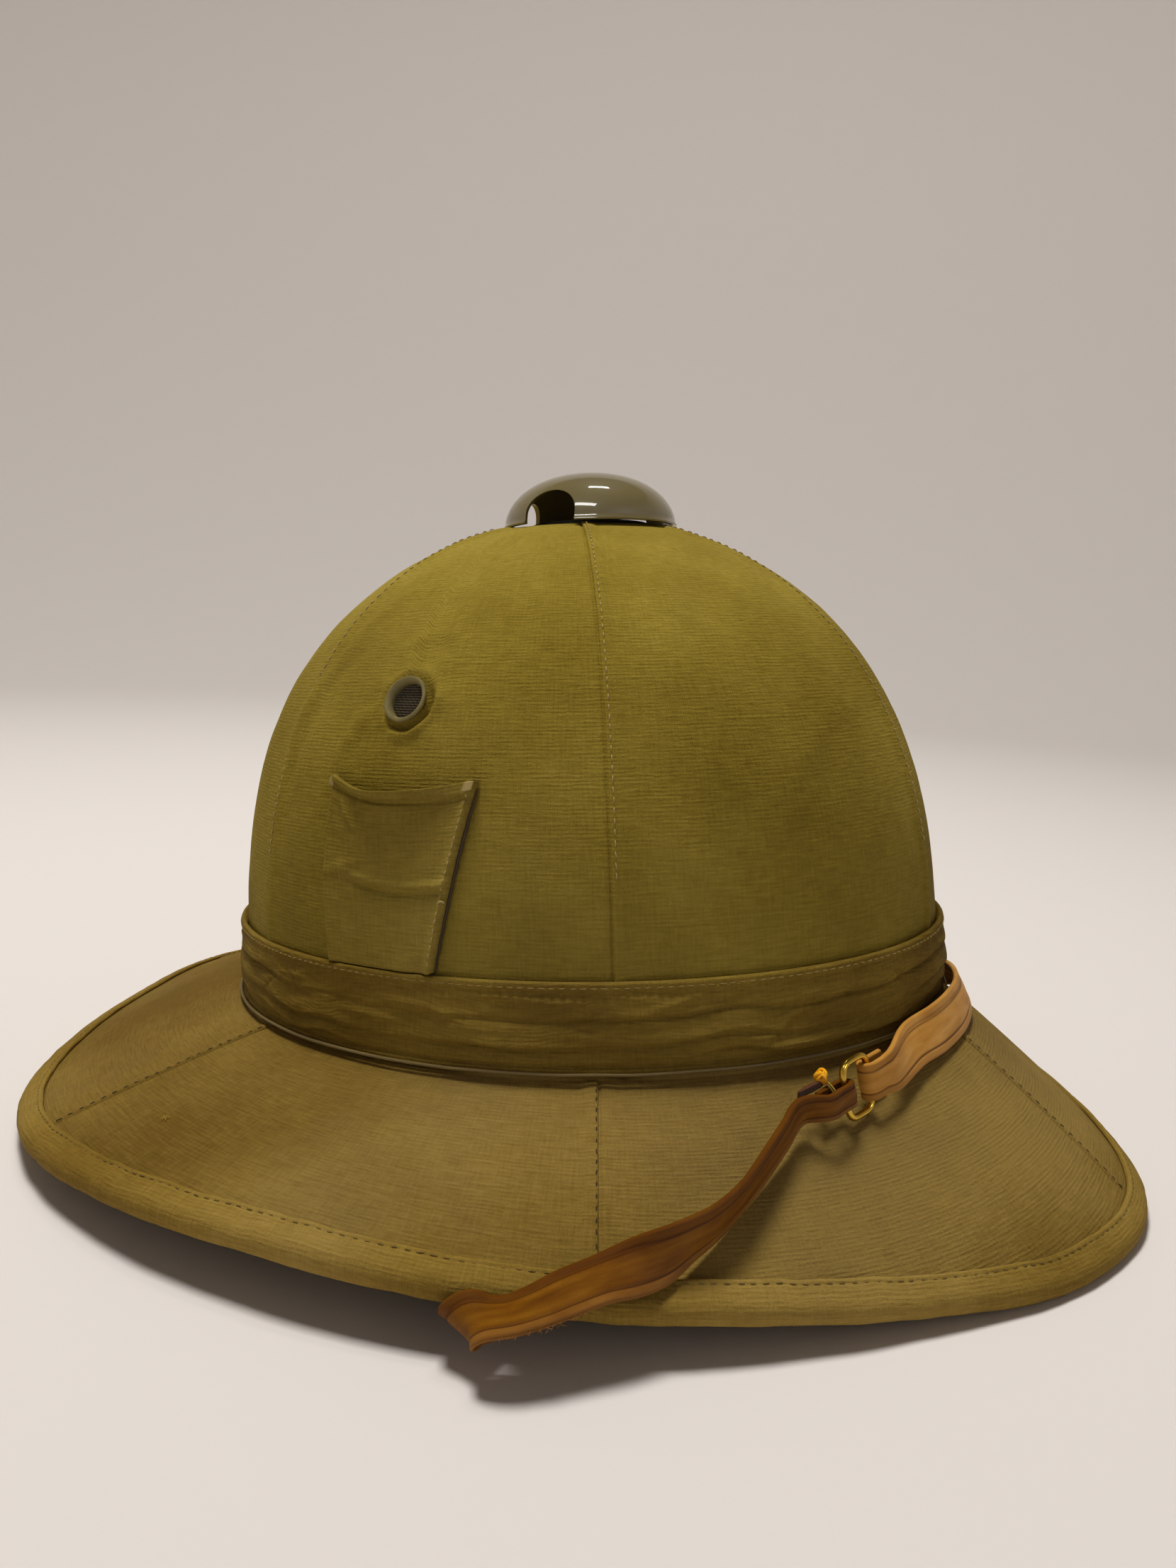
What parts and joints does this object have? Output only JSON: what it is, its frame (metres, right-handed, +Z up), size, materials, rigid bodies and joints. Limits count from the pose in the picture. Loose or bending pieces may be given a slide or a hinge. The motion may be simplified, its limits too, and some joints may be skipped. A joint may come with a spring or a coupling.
{
  "type": "pith helmet",
  "caption": "Cloth-covered pith helmet with a domed panelled crown, pleated band, wide sloping bound brim, top vent cap, side vents, small pocket and leather chin strap.",
  "frame": {"origin": "on the surface the helmet stands on, under the middle of its outline", "axes": "+X towards the wearer's front, +Y towards the wearer's left, +Z up"},
  "size_m": [0.36, 0.3294, 0.2043],
  "materials": {
    "crown_cloth": "matt cotton drill",
    "brim_cloth": "matt cotton drill",
    "band_cloth": "matt pleated cotton",
    "binding_cloth": "matt bias tape",
    "cap_paint": "gloss",
    "vent_metal": "dull, olive-toned",
    "gauze": "dark woven wire",
    "strap_leather": "smooth, creased",
    "buckle_brass": "polished, worn"
  },
  "bodies": {
    "root": {"crown": "crown_cloth", "hat_band": "band_cloth", "pocket": "crown_cloth", "vent_collar": "vent_metal", "vent_cap": "cap_paint", "side_vent_right": "vent_metal", "side_gauze_right": "gauze", "strap_rivet_right": "buckle_brass", "side_vent_left": "vent_metal", "side_gauze_left": "gauze", "strap_rivet_left": "buckle_brass", "brim": "brim_cloth", "rim_binding": "binding_cloth", "chin_strap_lower": "strap_leather", "chin_strap_front": "strap_leather", "strap_buckle": "buckle_brass"}
  },
  "joints": []
}
